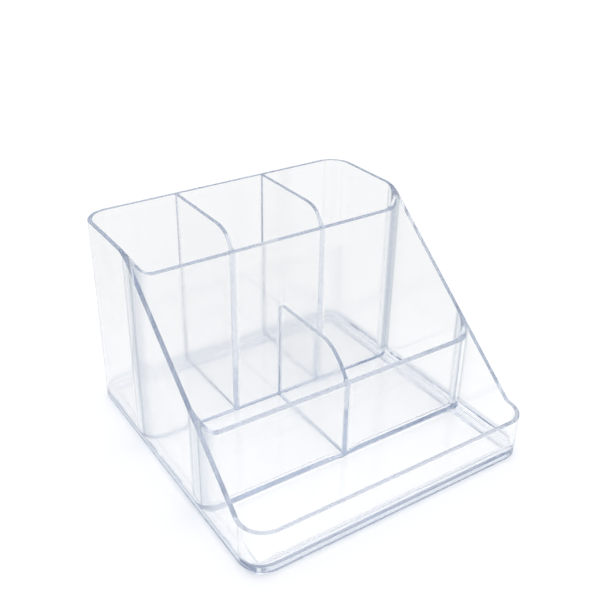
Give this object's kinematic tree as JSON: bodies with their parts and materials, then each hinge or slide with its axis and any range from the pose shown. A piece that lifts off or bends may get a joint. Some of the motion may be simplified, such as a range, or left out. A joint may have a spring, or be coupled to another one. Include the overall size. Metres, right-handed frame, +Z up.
{
  "type": "makeup organizer tray",
  "caption": "Open-top clear plastic desktop organizer with stepped compartments that slope down to a low front tray, on a flat foot rim.",
  "frame": {"origin": "centre of the footprint, on the surface that the organizer stands on", "axes": "+Z up, -Y towards the low front tray, +Y towards the tall back wall, +X to the right seen from the front; left and right mirror each other about X = 0"},
  "size_m": [0.184, 0.192, 0.1245],
  "materials": {
    "clear_plastic": "clear, polished, faintly blue at the edges"
  },
  "bodies": {
    "root": {"base_plate": "clear_plastic", "foot_rim": "clear_plastic", "back_wall": "clear_plastic", "left_side_wall": "clear_plastic", "right_side_wall": "clear_plastic", "tray_front_wall": "clear_plastic", "rear_row_front_wall": "clear_plastic", "middle_row_front_wall": "clear_plastic", "rear_left_divider": "clear_plastic", "rear_right_divider": "clear_plastic", "middle_divider": "clear_plastic"}
  },
  "joints": []
}
